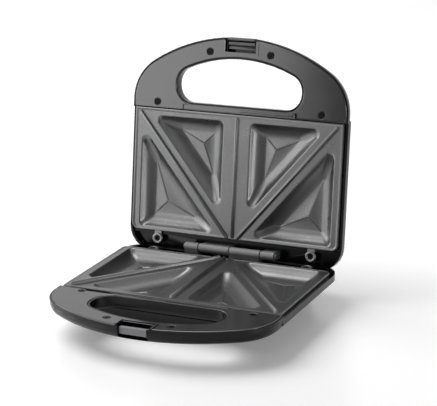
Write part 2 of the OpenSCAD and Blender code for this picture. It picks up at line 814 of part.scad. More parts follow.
module half_reflector() {
    w = 2 * reflector_half;
    d = reflector_front - reflector_rear;
    difference() {
        translate([-reflector_half, reflector_rear, reflector_z]) cube([w, d, reflector_rim_h]);
        translate([reflector_t - reflector_half, reflector_rear + reflector_t, reflector_z + reflector_t])
            cube([w - 2 * reflector_t, d - 2 * reflector_t, reflector_rim_h]);
        both_sides() for (p = posts)
            pillar(p.x, p.y, reflector_z - over, screw_r + seat_gap, reflector_t + 2 * over);
    }
}

module half_reflector_screws() {
    both_sides() for (p = posts)
        translate([p.x, p.y, reflector_z + reflector_t]) screw(post_head_r, post_head_h, post_screw_len);
}

// The hinge leaf: two knuckles on arms that pass through the deck, and a flange
// screwed to the underside of the deck
module half_hinge_leaf() {
    difference() {
        union() {
            for (k = knuckles) {
                translate([k.x, 0, 0]) rotate([0, 90, 0]) cylinder(r = knuckle_r, h = k.y);
                translate([k.x, -arm_half, leaf_z]) cube([k.y, 2 * arm_half, -leaf_z]);
            }
            translate([leaf_left - leaf_tab, -arm_half, leaf_z])
                cube([leaf_right - leaf_left + 2 * leaf_tab, 2 * arm_half, leaf_t]);
        }
        translate([leaf_left - over, 0, 0]) rotate([0, 90, 0])
            cylinder(r = bore_r, h = leaf_right - leaf_left + 2 * over);
        for (x = leaf_screws)
            pillar(x, 0, leaf_z - over, screw_r + seat_gap, leaf_t + 2 * over);
    }
}

module half_hinge_screws() {
    for (x = leaf_screws)
        translate([x, 0, leaf_z]) rotate([180, 0, 0]) screw(leaf_head_r, leaf_head_h, leaf_screw_len);
}

module foot(x, y) {
    color(rubber_black) in_base() translate([x, y, floor_z]) rotate_extrude()
        polygon([[0, -foot_h], [foot_r - foot_h / 5, -foot_h], [foot_r, -0.8 * foot_h], [foot_top_r, 0],
            [foot_stud_r, 0], [foot_stud_r, 0.4 * shell_wall], [0, 0.4 * shell_wall]]);
}

// A wire in one level plane, along a curve through four guide points
function curve_point(g, t) = pow(1 - t, 3) * g[0] + 3 * pow(1 - t, 2) * t * g[1]
    + 3 * (1 - t) * t * t * g[2] + t * t * t * g[3];
function curve_way(g, t) = let (d = 3 * pow(1 - t, 2) * (g[1] - g[0]) + 6 * (1 - t) * t * (g[2] - g[1])
    + 3 * t * t * (g[3] - g[2])) d / norm(d);
function wire_ring(g, t, r, z) = let (p = curve_point(g, t), d = curve_way(g, t))
    [for (a = [0:45:315]) [p.x + d.y * r * cos(a), p.y - d.x * r * cos(a), z + r * sin(a)]];

module wire(guides, r, z) {
    steps = 10;
    loft([for (i = [steps:-1:0]) wire_ring(guides, i / steps, r, z)]);
}

module lamp_lens(x) {
    in_lid() translate([x, lamp_y, floor_z]) rotate_extrude()
        polygon([[0, -lens_h], [0.6 * lens_r, -0.85 * lens_h], [0.9 * lens_r, -0.45 * lens_h], [lens_r, 0],
            [lens_stem_r, 0], [lens_stem_r, shell_wall + lens_stem], [0, shell_wall + lens_stem]]);
}

module lamp(x) {
    in_lid() pillar(x, lamp_y, inner_floor_z + lens_stem + seat_gap, lamp_r, lamp_len);
}

// Nodes of the base

module base_handle_cover() { color(cover_plastic) in_base() half_cover(); }
module base_handle_screws() { color(dark_steel) in_base() half_cover_screws(); }
module base_plate() { color(plate_coat) in_base() half_plate(); }
module base_plate_screws() { color(dark_steel) in_base() half_plate_screws(); }
module base_element() { color(bright_steel) in_base() half_element(); }
module base_element_clips() { color(bright_steel) in_base() half_clips(); }
module base_clip_screws() { color(dark_steel) in_base() half_clip_screws(); }
module base_reflector() { color(bright_steel) in_base() half_reflector(); }
module base_reflector_screws() { color(dark_steel) in_base() half_reflector_screws(); }
module base_hinge_leaf() { color(bright_steel) in_base() half_hinge_leaf(); }
module base_hinge_screws() { color(dark_steel) in_base() half_hinge_screws(); }
module foot_front_left() { foot(-foot_x, foot_front); }
module foot_front_right() { foot(foot_x, foot_front); }
module foot_rear_left() { foot(-foot_x, foot_rear); }
module foot_rear_right() { foot(foot_x, foot_rear); }

module hinge_pin() {
    span = -leaf_left;
    color(bright_steel) translate([0, hinge_y, hinge_z]) rotate([0, 90, 0]) {
        translate([0, 0, -span - seat_gap]) cylinder(r = pin_r, h = 2 * (span + seat_gap));
        translate([0, 0, -span - seat_gap - pin_head_h]) cylinder(r = pin_head_r, h = pin_head_h);
        translate([0, 0, span + seat_gap]) cylinder(r = pin_head_r, h = pin_head_h);
    }
}

module catch_bar() {
    color(bright_steel) in_base() {
        translate([-latch_w / 2, latch_y - bar_w / 2, latch_z - bar_h / 2]) cube([latch_w, bar_w, bar_h]);
        translate([-cheek_half - 0.8 * cheek_t, latch_y, latch_z]) rotate([0, 90, 0])
            cylinder(r = pin_r, h = 2 * (cheek_half + 0.8 * cheek_t));
    }
}

module thermostat() {
    color(bright_steel) in_base() {
        pillar(0, thermostat_y, plate_under_z - thermostat_h, thermostat_r, thermostat_h);
        both_sides() translate([thermostat_r / 3, thermostat_y - lead_r, plate_under_z - 1.8 * thermostat_h])
            cube([lead_r, 2 * lead_r, thermostat_h]);
    }
}

module thermal_fuse() {
    color("white") in_base() translate([0, fuse_y, plate_under_z - fuse_r]) rotate([-90, 0, 0])
        cylinder(r = fuse_r, h = fuse_len);
}

module terminal_block() {
    color("ivory") in_base() difference() {
        translate([block_x, block_y, inner_floor_z]) cube([block_w, block_d, block_h]);
        for (y = [block_y + block_d / 4, block_y + 3 * block_d / 4])
            translate([block_x - over, y, tube_z]) rotate([0, 90, 0])
                cylinder(r = lead_r + 2 * fit_gap, h = block_w / 3 + over);
    }
}

module base_leads() {
    end_y = tube_rear - tube_end_r - cold_pin_len;
    near = block_y + block_d / 4;
    far = block_y + 3 * block_d / 4;
    stop_x = block_x + block_w / 8;
    color("sienna") in_base() {
        wire([[tube_end_x, end_y], [tube_end_x, end_y - lead_bend], [0.5 * stop_x, far], [stop_x, far]],
            lead_r, tube_z);
        wire([[-tube_end_x, end_y], [-tube_end_x, end_y - 1.8 * lead_bend],
            [0.3 * stop_x, near], [stop_x, near]], lead_r, tube_z);
    }
}

// Nodes of the lid

module lid_handle_cover() { color(cover_plastic) in_lid() half_cover(); }
module lid_handle_screws() { color(dark_steel) in_lid() half_cover_screws(); }
module lid_plate() { color(plate_coat) in_lid() half_plate(); }
module lid_plate_screws() { color(dark_steel) in_lid() half_plate_screws(); }
module lid_element() { color(bright_steel) in_lid() half_element(); }
module lid_element_clips() { color(bright_steel) in_lid() half_clips(); }
module lid_clip_screws() { color(dark_steel) in_lid() half_clip_screws(); }
module lid_reflector() { color(bright_steel) in_lid() half_reflector(); }
module lid_reflector_screws() { color(dark_steel) in_lid() half_reflector_screws(); }
module lid_hinge_leaf() { color(bright_steel) in_lid() half_hinge_leaf(); }
module lid_hinge_screws() { color(dark_steel) in_lid() half_hinge_screws(); }
module power_lens() { color("firebrick") lamp_lens(lamp_x); }
module ready_lens() { color("seagreen") lamp_lens(-lamp_x); }
module power_lamp() { color("white") lamp(lamp_x); }
module ready_lamp() { color("white") lamp(-lamp_x); }

module latch_pin() {
    color(bright_steel) in_lid() translate([-cheek_half - 0.8 * cheek_t, latch_y, latch_z]) rotate([0, 90, 0])
        cylinder(r = pin_r, h = 2 * (cheek_half + 0.8 * cheek_t));
}

module lamp_holder() {
    color("ivory") in_lid() difference() {
        translate([-holder_w / 2, lamp_y - holder_d / 2, inner_floor_z])
            cube([holder_w, holder_d, holder_z + holder_t - inner_floor_z]);
        translate([holder_t - holder_w / 2, lamp_y - holder_d, inner_floor_z - over])
            cube([holder_w - 2 * holder_t, 2 * holder_d, holder_z - inner_floor_z + over]);
        both_sides() pillar(lamp_x, lamp_y, inner_floor_z, lamp_r + fit_gap, 2 * lamp_len);
    }
}

module lid_leads() {
    end_y = tube_rear - tube_end_r - cold_pin_len;
    color("sienna") in_lid()
        wire([[tube_end_x, end_y], [tube_end_x, end_y - 1.3 * lead_bend],
            [-tube_end_x, end_y - 1.3 * lead_bend], [-tube_end_x, end_y]], lead_r, tube_z);
}

// Drawn with the flap over the front, as it lies when it holds the lid shut
module latch() {
    color(dark_steel) in_lid() translate([-latch_w / 2, latch_y, latch_z])
        rotate([-latch_rest, 0, 0]) difference() {
        union() {
            rotate([0, 90, 0]) cylinder(r = barrel_r, h = latch_w);
            translate([0, 0, -barrel_r / 2]) cube([latch_w, flap_in + flap_t / 2, barrel_r]);
            translate([0, flap_in, -barrel_r / 2]) cube([latch_w, flap_t, flap_len + barrel_r / 2]);
            translate([0, -hook_in, flap_len - hook_t]) cube([latch_w, hook_in + flap_out, hook_t]);
            translate([0, -flap_out, -tab_len]) cube([latch_w, flap_t, tab_len + barrel_r / 2]);
            translate([0, -flap_in - flap_t / 2, -barrel_r / 2])
                cube([latch_w, flap_in + flap_t / 2, barrel_r]);
        }
        translate([-over, 0, 0]) rotate([0, 90, 0]) cylinder(r = bore_r, h = latch_w + 2 * over);
    }
}

base_shell();
base_handle_cover();
base_handle_screws();
base_plate();
base_plate_screws();
base_element();
base_element_clips();
base_clip_screws();
base_reflector();
base_reflector_screws();
base_hinge_leaf();
base_hinge_screws();
hinge_pin();
catch_bar();
foot_front_left();
foot_front_right();
foot_rear_left();
foot_rear_right();
thermostat();
thermal_fuse();
terminal_block();
base_leads();
lid_shell();
lid_handle_cover();
lid_handle_screws();
lid_plate();
lid_plate_screws();
lid_element();
lid_element_clips();
lid_clip_screws();
lid_reflector();
lid_reflector_screws();
lid_hinge_leaf();
lid_hinge_screws();
latch_pin();
power_lens();
ready_lens();
power_lamp();
ready_lamp();
lamp_holder();
lid_leads();
latch();
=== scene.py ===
"""Looks for the sandwich toaster: both halves, their plates and handles, hinge and latch."""
import json
import math

import bmesh
import bpy
import numpy as np
from mathutils import Matrix, Vector
from mathutils.geometry import tessellate_polygon

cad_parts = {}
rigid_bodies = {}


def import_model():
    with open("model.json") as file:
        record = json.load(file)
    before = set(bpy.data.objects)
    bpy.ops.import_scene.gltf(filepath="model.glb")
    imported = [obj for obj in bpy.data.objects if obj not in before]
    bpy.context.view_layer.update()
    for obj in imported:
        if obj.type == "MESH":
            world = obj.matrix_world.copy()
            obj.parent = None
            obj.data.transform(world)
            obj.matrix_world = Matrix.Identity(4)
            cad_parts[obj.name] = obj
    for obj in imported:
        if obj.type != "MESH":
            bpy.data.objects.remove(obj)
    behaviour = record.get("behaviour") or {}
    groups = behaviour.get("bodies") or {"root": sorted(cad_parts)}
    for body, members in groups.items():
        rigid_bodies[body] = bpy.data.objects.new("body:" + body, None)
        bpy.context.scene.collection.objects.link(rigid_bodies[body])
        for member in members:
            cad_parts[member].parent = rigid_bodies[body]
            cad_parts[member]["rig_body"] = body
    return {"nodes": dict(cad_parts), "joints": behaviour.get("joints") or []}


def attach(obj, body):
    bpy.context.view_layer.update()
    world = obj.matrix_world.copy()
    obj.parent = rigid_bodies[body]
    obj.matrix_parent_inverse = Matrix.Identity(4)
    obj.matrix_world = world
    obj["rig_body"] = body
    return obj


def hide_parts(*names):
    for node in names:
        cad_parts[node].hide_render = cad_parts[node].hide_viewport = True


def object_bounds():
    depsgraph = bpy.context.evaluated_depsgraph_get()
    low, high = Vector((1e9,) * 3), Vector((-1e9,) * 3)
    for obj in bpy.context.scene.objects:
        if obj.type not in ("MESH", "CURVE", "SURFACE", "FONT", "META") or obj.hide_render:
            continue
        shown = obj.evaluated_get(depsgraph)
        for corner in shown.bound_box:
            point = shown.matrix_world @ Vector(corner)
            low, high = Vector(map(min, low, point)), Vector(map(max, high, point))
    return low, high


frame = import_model()
cad_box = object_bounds()
MM = 0.001

# The photograph's camera, fitted to the rims, the plates and the hinge. The target is
# measured from the middle of the hinge, in millimetres, and angles are in degrees.
IMAGE_WIDTH, SENSOR = 437, 36.0
TARGET = (17.904, -58.519, 64.511)
AZIMUTH, ELEVATION, ROLL = 25.4957, 17.1608, -1.6542
DISTANCE, FOCAL_PIXELS = 1464.47, 1708.07

# Lights: name, place, aim, width, height, power, and whether it lights matt surfaces.
# The others are panels that only show in the gloss.
LIGHTS = (
    ("key", (-0.7, -0.8, 1.45), (0, 0, 0.08), 0.75, 0.75, 5, False),
    ("over", (-0.3, 0.15, 1.7), (0, 0, 0.05), 0.9, 0.9, 12, False),
    ("wide", (-1.25, 0.2, 1.75), (0, 0, 0), 1.7, 1.7, 44, True),
    ("left", (-1.34, -0.92, 0.56), (0, 0, 0.14), 2.2, 1.05, 19.5, False),
    ("side", (-1.5, -0.15, 0.3), (0, 0, 0.12), 0.5, 0.5, 2.5, False),
    ("right", (1.45, -0.35, 0.3), (0, 0, 0.12), 0.5, 0.5, 6, False),
)
# Strength of the world on matt surfaces, and of the floor's own glow where it is background
WORLD_DIM, FLOOR_LIFT = 0.26, 0.2
# In reflections the world rises from this share of white in front to all of it beside the part
FRONT_SHARE, FADE_START, FADE_END = 0.2, -0.9, 0.0
FLOOR_SIZE, FLOOR_TONE, FLOOR_ROUGHNESS = 12, 0.95, 0.28
CLIP_START, CLIP_END = 0.05, 50

# Sizes of one half, in millimetres, in its own frame: x across, s from the hinge axis
# toward the handle, z up from the hinge axis with the half below it
HALF_WIDTH = (cad_box[1].x - cad_box[0].x) / 2 / MM
REACH, FRONT_R, CORNER_R, SHOULDER_IN = 192.2, 156.4, 43.2, 7.3
FACE_Z, COVER_T, COVER_IN, COVER_GAP, COVER_BEVEL = -3.7, 2.3, 1.6, 0.4, 0.8
NEAR_BAR, FAR_BAR, GRIP_HALF = 7.4, 19.5, 60.5
GRIP_TOP_R, GRIP_CORNER_R, GRIP_ROUND, BACK_Z = 125.0, 15.0, 5.5, 16.0
NOTCH_HALF, NOTCH_IN, NOTCH_CORNER_R = 15.8, 13.9, 1.0
NOTCH_RIM, NOTCH_RIM_H, NOTCH_RIM_ROOT, NOTCH_RIM_EDGE, NOTCH_RIM_BACK = 1.3, 0.5, 1.0, 0.55, 0.2
CHANNEL_HALF, CHANNEL_NEAR, CHANNEL_W, CHANNEL_DEPTH = 54.5, 0.9, 3.8, 1.1
CHANNEL_CORNER_R, CHANNEL_EDGE = 0.9, 0.55
STRIP_END, STRIP_MIDDLE, STRIP_NEAR, STRIP_FAR, STRIP_CORNER_R = 1.5, 1.0, 1.0, 0.9, 0.7
STRIP_ROOT, STRIP_DROP, STRIP_EDGE = 0.2, 0.25, 0.5
SCREW_POCKET_R, SCREW_POCKET_DEPTH, SCREW_POCKET_EDGE = 3.4, 1.2, 0.4
SCREW_X, SCREW_FRONT_IN, SCREW_SIDE_IN, SCREW_NEAR = 29.5, 14.2, 24.7, 5.9
LAND_Z, PLATE_T, SKIRT_W, POCKET_DEPTH, PYRAMID_H = -3.4, 2.6, 1.2, 9.0, 0.9
PLATE_SIDE_GAP, PLATE_FRONT_GAP, PLATE_REAR, PLATE_CORNER_R = 3.15, 0.1, 10.3, 6.0
LAND_EDGE, LAND_REAR, LAND_FRONT, LAND_MID, LAND_SLANT = 6.6, 2.2, 5.7, 12.5, 6.9
POCKET_CORNER_R, FOOT_CORNER_R = 5.0, 1.0
# A pocket's wall: its rounded lip, where its corners start to sharpen, its whole width,
# and the width over which it eases off
LIP_W, SLOPE_END, SLOPE_W, EASE_W = 1.8, 5.0, 12.5, 5.1
# Where a slanting ridge starts at the middle and how far in it ends at the corner
RIDGE_START_X, RIDGE_START_IN, RIDGE_END_X_IN, RIDGE_END_S_IN = 4.3, 0.4, 5.0, 3.3
PYRAMID_EASE, CREASE_HALF, CREASE_H, CREASE_SINK = 0.6, 0.75, 0.6, 0.05
EAR_X, EAR_S, EAR_R, EAR_HOLE_R, EAR_Z, EAR_T, EAR_EDGE = 76.0, 3.0, 5.0, 2.6, -4.4, 3.0, 0.7
NECK_HALF, NECK_T, NECK_START, NECK_IN, NECK_EDGE, NECK_LIFT = 3.5, 1.6, 0.8, 1, 0.3, 0.1

# The plate's rim from under its skirt up and over the bead: inset, and height above the land
PLATE_RIM = ((SKIRT_W, -5.6), (0.2, -5.6), (0, -5.3), (0, 0.05), (0.13, 0.37), (0.45, 0.5),
             (1.2, 0.5), (1.6, 0.35), (2.1, 0.06), (2.6, 0))
# Insets of the rings that make a pocket's wall, and shares of the way up its pyramid
WALL_INSETS = (0, 0.25, 0.5, 0.75, 1.0, 1.2, 1.4, 1.8, 2.3, 2.9, 3.6, 4.3, 5.0, 5.8, 6.6, 7.4, 8.2,
               9.0, 9.8, 10.6, 11.4, 12.0, 12.5)
PYRAMID_SHARES = (0.1, 0.2, 0.3, 0.4, 0.5, 0.6, 0.7, 0.8, 0.9, 0.97)
# A crease: share of the way to the corner and height there, then its section from side to side
CREASE_RUN = ((-0.02, 0.8), (0.0, 1.0), (0.5, 1.0), (0.8, 0.7), (1.0, 0.3), (1.25, 0.0))
CREASE_SECTION = ((-1.0, 0.0), (-0.25, 0.9), (0.0, 1.0), (0.25, 0.9), (1.0, 0.0))
# One side of a ridge from its root to its top: across, and height above the land
RIDGE_SIDE = ((-2.0, -0.4), (-2.0, 0.02), (-1.5, 0.12), (-1.3, 0.5), (-0.9, 2.25), (-0.7, 2.58),
              (-0.4, 2.7))
# A ridge's rounded end: distance from the end, and share of the full height there
RIDGE_TIP = ((0.0, 0.15), (0.7, 0.8), (1.4, 1.0))

# Joining and rounding of the solids' meshes: distances in metres, angles in degrees
SAME_POINT, MERGE, FLAT_ANGLE, EDGE_ANGLE, SMOOTH_ANGLE = 1e-7, 2e-6, 0.6, 34, 40
EDGE_STEPS, GRIP_STEPS, GRIP_ANGLE = 2, 6, 60
# How near to the grip's outline and to the outer side an edge counts as the grip's
GRIP_REACH, BACK_REACH = 0.1, 0.05
# Least cosine at a loop's corner, so that a sharp one isn't drawn out too far
MITRE_LEAST = 0.3

lid_joint = next(j for j in frame["joints"] if j["name"] == "lid_hinge")
HINGE = Vector(lid_joint["pos_m"])
OPEN = math.radians(lid_joint["range_deg"][1])

front_s = REACH - FRONT_R
corner_x = HALF_WIDTH - CORNER_R
corner_s = front_s + math.sqrt((FRONT_R - CORNER_R) ** 2 - corner_x ** 2)
corner_turn = math.degrees(math.atan2(corner_s - front_s, corner_x))
shoulder_s = corner_s - SHOULDER_IN
notch_back = REACH - NOTCH_IN
plate_half = HALF_WIDTH - PLATE_SIDE_GAP
plate_front = shoulder_s - PLATE_FRONT_GAP


# Placing: from a half's own frame in millimetres to the row frame in metres

def base_point(p):
    """A point of the base's own frame in the row frame."""
    return Vector((p[0], -p[1], p[2])) * MM + HINGE


def lid_point(p):
    """A point of the lid's own frame in the row frame, with the lid open."""
    x, y, z = -p[0], -p[1], -p[2]
    cos, sin = math.cos(OPEN), math.sin(OPEN)
    return Vector((x, y * cos + z * sin, z * cos - y * sin)) * MM + HINGE


HALVES = {"base": base_point, "lid": lid_point}


def in_half(point, half):
    """A point of the row frame in a half's own frame, in millimetres."""
    x, y, z = (point - HINGE) / MM
    if half == "lid":
        cos, sin = math.cos(OPEN), math.sin(OPEN)
        return -x, z * sin - y * cos, -(z * cos + y * sin)
    return x, -y, z


# Materials

def socket(node, name, value):
    """Sets an inlet of a node."""
    node.inputs[name].default_value = value


def new_material(name, colour, roughness, metallic=0.0, **extra):
    """A principled material; extra names are its sockets with underscores for spaces."""
    material = bpy.data.materials.new(name)
    material.use_nodes = True
    shader = material.node_tree.nodes["Principled BSDF"]
    socket(shader, "Base Color", (*colour, 1.0))
    socket(shader, "Roughness", roughness)
    socket(shader, "Metallic", metallic)
    for key, value in extra.items():
        socket(shader, key.replace("_", " "), value)
    return material


def link(material, source, output, target, inlet):
    """Joins an outlet of one node to an inlet of another."""
    material.node_tree.links.new(source.outputs[output], target.inputs[inlet])


def noise(material, scale, detail=3.0, rough=0.5, stretch=None):
    """Noise on the object's coordinates, with so many cells to the metre."""
    nodes = material.node_tree.nodes
    place = nodes.new("ShaderNodeTexCoord")
    texture = nodes.new("ShaderNodeTexNoise")
    socket(texture, "Scale", scale)
    socket(texture, "Detail", detail)
    socket(texture, "Roughness", rough)
    if stretch:
        mapping = nodes.new("ShaderNodeMapping")
        socket(mapping, "Scale", stretch)
        link(material, place, "Object", mapping, "Vector")
        link(material, mapping, "Vector", texture, "Vector")
    else:
        link(material, place, "Object", texture, "Vector")
    return texture


def bump(material, texture, height, below=None):
    """A bump of so many metres at the texture's full swing, chained after another if given."""
    node = material.node_tree.nodes.new("ShaderNodeBump")
    socket(node, "Strength", 1.0)
    socket(node, "Distance", height)
    link(material, texture, "Fac", node, "Height")
    if below:
        link(material, below, "Normal", node, "Normal")
    shader = material.node_tree.nodes["Principled BSDF"]
    link(material, node, "Normal", shader, "Normal")
    return node


def spread(material, texture, low, high, inlet):
    """The texture drives an inlet of the shader between two values or two colours."""
    from_low, from_high = 0.3, 0.7
    nodes = material.node_tree.nodes
    shader = nodes["Principled BSDF"]
    if isinstance(low, tuple):
        ramp = nodes.new("ShaderNodeValToRGB")
        ramp.color_ramp.elements[0].position = from_low
        ramp.color_ramp.elements[1].position = from_high
        ramp.color_ramp.elements[0].color = (*low, 1.0)
        ramp.color_ramp.elements[1].color = (*high, 1.0)
        link(material, texture, "Fac", ramp, "Fac")
        link(material, ramp, "Color", shader, inlet)
        return
    remap = nodes.new("ShaderNodeMapRange")
    bounds = {"From Min": from_low, "From Max": from_high, "To Min": low, "To Max": high}
    for name, value in bounds.items():
        socket(remap, name, value)
    link(material, texture, "Fac", remap, "Value")
    link(material, remap, "Result", shader, inlet)


def moulded(name, dark, light, smooth, rough, grain, gloss=0.5):
    """Moulded plastic: a faint grain, and a slow drift of gloss and tone."""
    material = new_material(name, dark, smooth, Specular_IOR_Level=gloss)
    drift = noise(material, scale=14.0, detail=2.0)
    spread(material, drift, dark, light, "Base Color")
    spread(material, drift, smooth, rough, "Roughness")
    fine = bump(material, noise(material, scale=2600.0, detail=2.0), grain)
    bump(material, noise(material, scale=45.0, detail=1.0), grain * 1.5, below=fine)
    return material


def coated(name, dark, light):
    """Non-stick coating on cast metal: fine orange peel and small specks in the tone."""
    smooth, rough = 0.27, 0.35
    material = new_material(name, dark, rough, metallic=0.82)
    specks = noise(material, scale=900.0, detail=4.0, rough=0.7)
    spread(material, specks, dark, light, "Base Color")
    spread(material, noise(material, scale=60.0), smooth, rough, "Roughness")
    peel = noise(material, scale=1500.0, rough=0.6)
    fine = bump(material, peel, height=0.000025)
    bump(material, noise(material, scale=160.0, detail=2.0), height=0.000015, below=fine)
    return material


def metal(name, dark, light, roughness, stretch, metallic=1.0):
    """Metal with drawn marks along the long axis of the stretch."""
    smoother, rougher = roughness - 0.06, roughness + 0.08
    material = new_material(name, dark, roughness, metallic)
    marks = noise(material, scale=900.0, detail=4.0, rough=0.6, stretch=stretch)
    spread(material, marks, dark, light, "Base Color")
    spread(material, marks, smoother, rougher, "Roughness")
    bump(material, marks, height=0.00002)
    return material


def grey(tone, blue=0.0):
    """A grey of one tone, with a touch more blue if given."""
    return (tone, tone, tone + blue)


ALONG_X = (0.03, 1.0, 1.0)
EVEN = (1.0, 1.0, 1.0)
shell_black = moulded("shell_black", grey(0.002, 0.0005), grey(0.004, 0.0005),
                      0.12, 0.2, 0.000004, gloss=0.22)
cover_black = moulded("cover_black", grey(0.009, 0.0005), grey(0.013, 0.0005),
                      0.15, 0.2, 0.000005, gloss=0.95)
latch_black = moulded("latch_black", grey(0.014, 0.001), grey(0.022, 0.001),
                      0.26, 0.34, 0.00001, gloss=0.9)
grey_plastic = moulded("grey_plastic", grey(0.20, 0.01), grey(0.25, 0.01), 0.33, 0.42, 0.00001)
rubber = moulded("rubber", grey(0.012), grey(0.02), 0.7, 0.85, 0.00004)
ceramic = moulded("ceramic", (0.70, 0.68, 0.62), (0.78, 0.76, 0.70), 0.4, 0.55, 0.00002)
sleeve = moulded("sleeve", (0.30, 0.11, 0.04), (0.38, 0.15, 0.06), 0.5, 0.65, 0.00002)
plate_coat = coated("plate_coat", grey(0.125, 0.001), grey(0.165, 0.002))
hinge_metal = metal("hinge_metal", grey(0.19, 0.004), grey(0.25, 0.004), 0.5, ALONG_X, 0.1)
bright_metal = metal("bright_metal", grey(0.58), grey(0.72), 0.3, ALONG_X)
screw_metal = moulded("screw_metal", grey(0.003), grey(0.006), 0.3, 0.4, 0.000006, gloss=0.12)
ear_metal = metal("ear_metal", grey(0.19, 0.004), grey(0.26, 0.004), 0.42, EVEN)


def lens(name, colour):
    """A tinted lens or bulb with a faintly uneven surface."""
    material = new_material(name, colour, roughness=0.08,
                            Transmission_Weight=0.55, IOR=1.49, Coat_Weight=0.4)
    bump(material, noise(material, scale=500.0, detail=2.0), height=0.00002)
    return material


red_lens = lens("red_lens", (0.60, 0.025, 0.015))
green_lens = lens("green_lens", (0.03, 0.42, 0.10))
lamp_glass = lens("lamp_glass", (0.85, 0.83, 0.80))


# Meshes

def arc(x, s, r, start, end, steps):
    """Points on an arc from one angle to another, in degrees."""
    turns = [math.radians(start + (end - start) * i / steps) for i in range(steps + 1)]
    return [(x + r * math.cos(a), s + r * math.sin(a)) for a in turns]


def loop_clean(loop, gap=1e-4):
    """The loop without points that repeat the one before."""
    return [p for i, p in enumerate(loop) if math.dist(p, loop[i - 1]) > gap]


def drawn_in(loop, inset):
    """The loop moved to its left by the inset: inward on an anticlockwise loop."""
    if inset == 0:
        return list(loop)
    points = np.array(loop)
    ahead = np.roll(points, -1, axis=0) - points
    ahead /= np.linalg.norm(ahead, axis=1)[:, None]
    behind = np.roll(ahead, 1, axis=0)
    normal = np.stack([-ahead[:, 1] - behind[:, 1], ahead[:, 0] + behind[:, 0]], axis=1)
    normal /= np.linalg.norm(normal, axis=1)[:, None]
    left = np.stack([-ahead[:, 1], ahead[:, 0]], axis=1)
    lengthen = 1 / np.maximum((normal * left).sum(axis=1), MITRE_LEAST)
    return [tuple(p) for p in points + normal * (inset * lengthen)[:, None]]


def circle_loop(x, s, r, steps=32):
    """A whole circle, anticlockwise."""
    return arc(x, s, r, 0, 360 - 360 / steps, steps - 1)


class Sketch:
    """Collects points in a half's frame and the faces between them."""

    def __init__(self):
        self.points, self.faces, self.flat = [], [], []

    def ring(self, loop, z):
        """Puts a loop at a height and gives the numbers of its points."""
        start = len(self.points)
        self.points += [(p[0], p[1], z) for p in loop]
        return list(range(start, len(self.points)))

    def band(self, low, high):
        """Smooth faces between two rings of as many points."""
        for i in range(len(low)):
            j = (i + 1) % len(low)
            self.face((low[i], low[j], high[j], high[i]))

    def face(self, corners, flat=False):
        """One face, smooth unless it is flat."""
        self.faces.append(tuple(corners))
        self.flat.append(flat)

    def cap(self, *rings):
        """A level face inside the first ring, with the other rings as its holes."""
        flat_list = [i for ring in rings for i in ring]
        loops = [[Vector((*self.points[i][:2], 0)) for i in ring] for ring in rings]
        for triangle in tessellate_polygon(loops):
            self.face([flat_list[k] for k in triangle], True)

    def fan(self, ring, tip):
        """Flat faces from a ring to a tip."""
        self.points.append(tip)
        for i, here in enumerate(ring):
            self.face((here, ring[(i + 1) % len(ring)], len(self.points) - 1), True)

    def slab(self, loop, low, high, bevel, holes=(), wells=()):
        """A plate with a rounded upper edge; holes go through, wells are (loop, depth, edge)."""
        steps = 3
        bends = [i * math.pi / 2 / steps for i in range(steps + 1)]
        tops, bottoms = [], []
        for side, edge in [(1, loop)] + [(-1, hole) for hole in holes]:
            under = bevel * 0.5
            rings = [self.ring(drawn_in(edge, side * under), low), self.ring(edge, low + under)]
            for a in bends:
                turned_in = drawn_in(edge, side * bevel * (1 - math.cos(a)))
                rings.append(self.ring(turned_in, high - bevel * (1 - math.sin(a))))
            for lower, upper in zip(rings, rings[1:]):
                self.band(lower, upper)
            tops.append(rings[-1])
            bottoms.append(rings[0])
        for edge, depth, small in wells:
            rings = []
            for a in bends:
                turned_out = drawn_in(edge, -small * (1 - math.sin(a)))
                rings.append(self.ring(turned_out, high - small * (1 - math.cos(a))))
            rings.append(self.ring(edge, high - depth))
            for upper, lower in zip(rings, rings[1:]):
                self.band(upper, lower)
            tops.append(rings[0])
            self.cap(rings[-1])
        self.cap(*tops)
        self.cap(*bottoms)

    def piece(self, name, half, material, replaces=()):
        """The sketch as an object of a half, with the nodes that it replaces."""
        mesh = bpy.data.meshes.new(name)
        mesh.from_pydata([HALVES[half](p) for p in self.points], [], self.faces)
        mesh.polygons.foreach_set("use_smooth", [not f for f in self.flat])
        work = bmesh.new()
        work.from_mesh(mesh)
        bmesh.ops.remove_doubles(work, verts=work.verts, dist=SAME_POINT)
        bmesh.ops.recalc_face_normals(work, faces=work.faces)
        work.to_mesh(mesh)
        work.free()
        smooth = [face.use_smooth for face in mesh.polygons]
        mesh.set_sharp_from_angle(angle=math.radians(SMOOTH_ANGLE))
        mesh.polygons.foreach_set("use_smooth", smooth)
        mesh.materials.append(material)
        made = bpy.data.objects.new(name, mesh)
        bpy.context.scene.collection.objects.link(made)
        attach(made, half)
        if replaces:
            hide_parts(*replaces)


def round_grip(work, half):
    """Rounds the grip's edge on the outer side of a shell, where the fingers go round it."""
    near, far = shoulder_s + NEAR_BAR - GRIP_REACH, REACH - FAR_BAR + GRIP_REACH

    def at_grip(vert):
        x, s, z = in_half(vert.co, half)
        return abs(x) < GRIP_HALF + GRIP_REACH and near < s < far and abs(z + BACK_Z) < BACK_REACH

    edges = [edge for edge in work.edges if all(at_grip(v) for v in edge.verts)
             and edge.calc_face_angle(0) > math.radians(GRIP_ANGLE)]
    bmesh.ops.bevel(work, geom=edges, offset=GRIP_ROUND * MM, segments=GRIP_STEPS, profile=0.5,
                    affect="EDGES", clamp_overlap=False, loop_slide=False)


